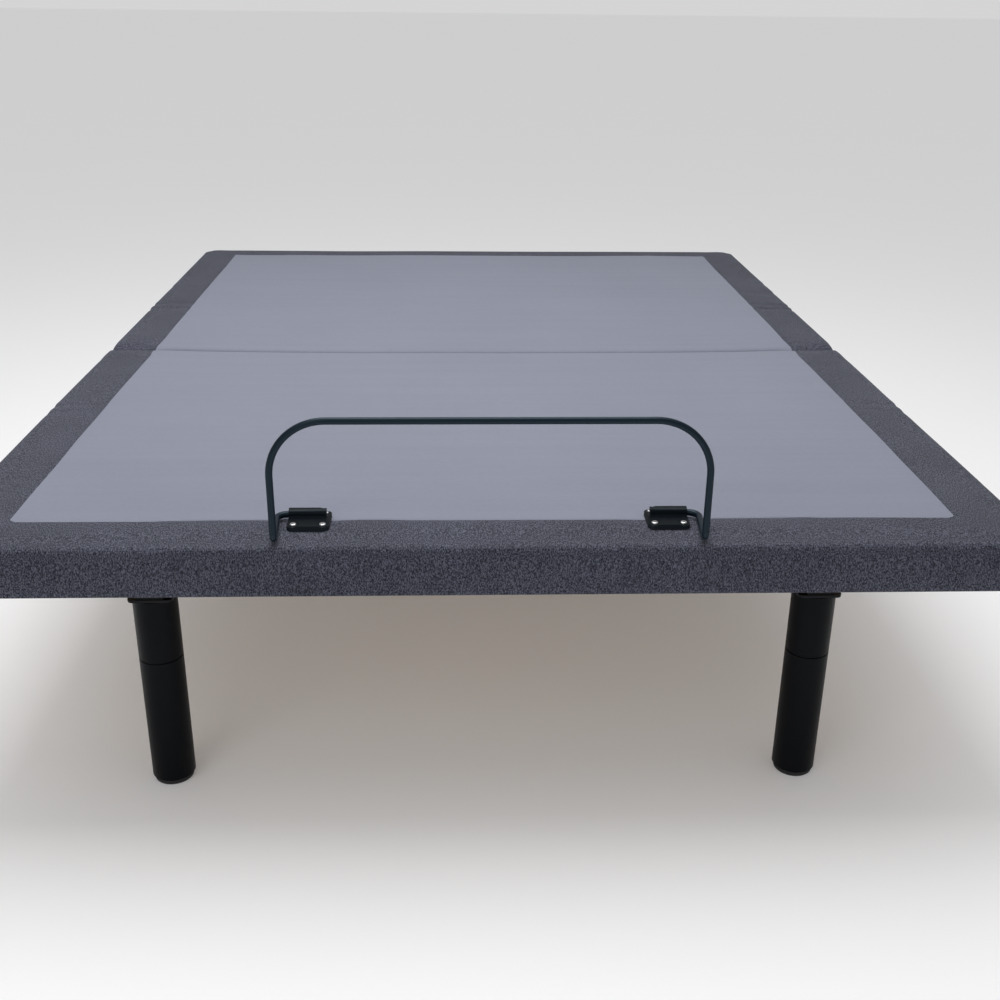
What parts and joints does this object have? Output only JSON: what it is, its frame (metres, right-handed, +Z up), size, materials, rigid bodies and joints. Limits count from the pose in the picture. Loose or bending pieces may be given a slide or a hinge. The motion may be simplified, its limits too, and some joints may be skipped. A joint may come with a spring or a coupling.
{
  "type": "adjustable bed base",
  "caption": "Upholstered adjustable bed base: head, thigh and calf sections hinge on a steel frame with legs, lifted by linear actuators, with a wire mattress retainer.",
  "frame": {"origin": "on the floor, midway between the two sides and midway between the foot end and the head end", "axes": "+X to the right as seen from the foot end, +Y towards the head end, +Z up"},
  "size_m": [1.524, 2.032, 0.6198],
  "materials": {
    "frame_paint": "satin black powder coat",
    "leg_plastic": "satin black moulding",
    "bright_steel": "bright drawn steel",
    "zinc_steel": "zinc plated, dull",
    "glide_rubber": "matt black rubber",
    "plywood": "sanded plywood",
    "pine": "planed softwood",
    "top_fabric": "light grey smooth knit",
    "border_fabric": "dark grey melange weave",
    "gear_paint": "satin dark grey powder coat",
    "nylon": "natural nylon",
    "actuator_plastic": "fine textured dark grey",
    "control_plastic": "fine textured black",
    "retainer_paint": "smooth satin blue-black",
    "bracket_plastic": "satin black moulding",
    "screw_steel": "bright plated"
  },
  "bodies": {
    "base": {"left_side_rail": "frame_paint", "right_side_rail": "frame_paint", "foot_cross_tube": "frame_paint", "seat_cross_tube": "frame_paint", "back_cross_tube": "frame_paint", "head_cross_tube": "frame_paint", "leg_plates": "frame_paint", "foot_left_leg_upper": "leg_plastic", "foot_left_leg_lower": "leg_plastic", "foot_right_leg_upper": "leg_plastic", "foot_right_leg_lower": "leg_plastic", "seat_left_leg_upper": "leg_plastic", "seat_left_leg_lower": "leg_plastic", "seat_right_leg_upper": "leg_plastic", "seat_right_leg_lower": "leg_plastic", "head_left_leg_upper": "leg_plastic", "head_left_leg_lower": "leg_plastic", "head_right_leg_upper": "leg_plastic", "head_right_leg_lower": "leg_plastic", "leg_studs": "bright_steel", "leg_glides": "glide_rubber", "seat_posts": "frame_paint", "seat_board": "plywood", "seat_battens": "pine", "seat_pad": "top_fabric", "seat_border": "border_fabric", "seat_hinge_pins": "bright_steel", "seat_hinge_plates": "zinc_steel", "lift_bearings": "frame_paint", "head_actuator": "actuator_plastic", "foot_actuator": "actuator_plastic", "clevis_pins": "bright_steel", "control_box": "control_plastic"},
    "head_section": {"head_board": "plywood", "head_battens": "pine", "head_pad": "top_fabric", "head_border": "border_fabric", "head_hinge_plates": "zinc_steel", "head_lift_shoes": "nylon"},
    "thigh_section": {"thigh_board": "plywood", "thigh_battens": "pine", "thigh_pad": "top_fabric", "thigh_border": "border_fabric", "thigh_hinge_plates": "zinc_steel", "knee_hinge_pins": "bright_steel", "foot_lift_shoes": "nylon"},
    "calf_section": {"calf_board": "plywood", "calf_battens": "pine", "calf_pad": "top_fabric", "calf_border": "border_fabric", "calf_hinge_plates": "zinc_steel", "retainer_bar": "retainer_paint", "retainer_brackets": "bracket_plastic", "retainer_screws": "screw_steel"},
    "head_lift": {"head_lift_arms": "gear_paint"},
    "foot_lift": {"foot_lift_arms": "gear_paint"},
    "head_rollers": {"head_lift_rollers": "nylon"},
    "foot_rollers": {"foot_lift_rollers": "nylon"},
    "head_rod": {"head_actuator_rod": "bright_steel"},
    "foot_rod": {"foot_actuator_rod": "bright_steel"}
  },
  "joints": [
    {"name": "head_lift_hinge", "type": "hinge", "parent": "base", "child": "head_section", "pos_m": [0, 0.32, 0.412], "axis": [1, 0, 0], "range_deg": [0, 60]},
    {"name": "foot_lift_hinge", "type": "hinge", "parent": "base", "child": "thigh_section", "pos_m": [0, -0.03, 0.412], "axis": [-1, 0, 0], "range_deg": [0, 35]},
    {"name": "knee_hinge", "type": "hinge", "parent": "thigh_section", "child": "calf_section", "pos_m": [0, -0.42, 0.412], "axis": [-1, 0, 0], "range_deg": [-43.8, 0]},
    {"name": "head_arm_turn", "type": "hinge", "parent": "base", "child": "head_lift", "pos_m": [0, 0.37, 0.338], "axis": [1, 0, 0], "range_deg": [0, 60.1]},
    {"name": "foot_arm_turn", "type": "hinge", "parent": "base", "child": "foot_lift", "pos_m": [0, -0.08, 0.338], "axis": [-1, 0, 0], "range_deg": [0, 35.1]},
    {"name": "head_roller_spin", "type": "hinge", "parent": "head_lift", "child": "head_rollers", "pos_m": [0, 0.69824, 0.372], "axis": [1, 0, 0], "range_deg": [-214.5, 0]},
    {"name": "foot_roller_spin", "type": "hinge", "parent": "foot_lift", "child": "foot_rollers", "pos_m": [0, -0.30747, 0.372], "axis": [-1, 0, 0], "range_deg": [-125.2, 0]},
    {"name": "head_rod_push", "type": "slide", "parent": "base", "child": "head_rod", "axis": [0, 1, 0], "range_m": [0, 0.0751]},
    {"name": "foot_rod_push", "type": "slide", "parent": "base", "child": "foot_rod", "axis": [0, -1, 0], "range_m": [0, 0.0452]}
  ],
  "couplings": [
    {"joint": "knee_hinge", "follows": "foot_lift_hinge", "ratio": -1.25},
    {"joint": "head_arm_turn", "follows": "head_lift_hinge", "ratio": 1},
    {"joint": "foot_arm_turn", "follows": "foot_lift_hinge", "ratio": 1},
    {"joint": "head_roller_spin", "follows": "head_lift_hinge", "ratio": -3.5723},
    {"joint": "foot_roller_spin", "follows": "foot_lift_hinge", "ratio": -3.5723},
    {"joint": "head_rod_push", "follows": "head_lift_hinge", "m_per_rad": 0.07162},
    {"joint": "foot_rod_push", "follows": "foot_lift_hinge", "m_per_rad": 0.07384}
  ]
}
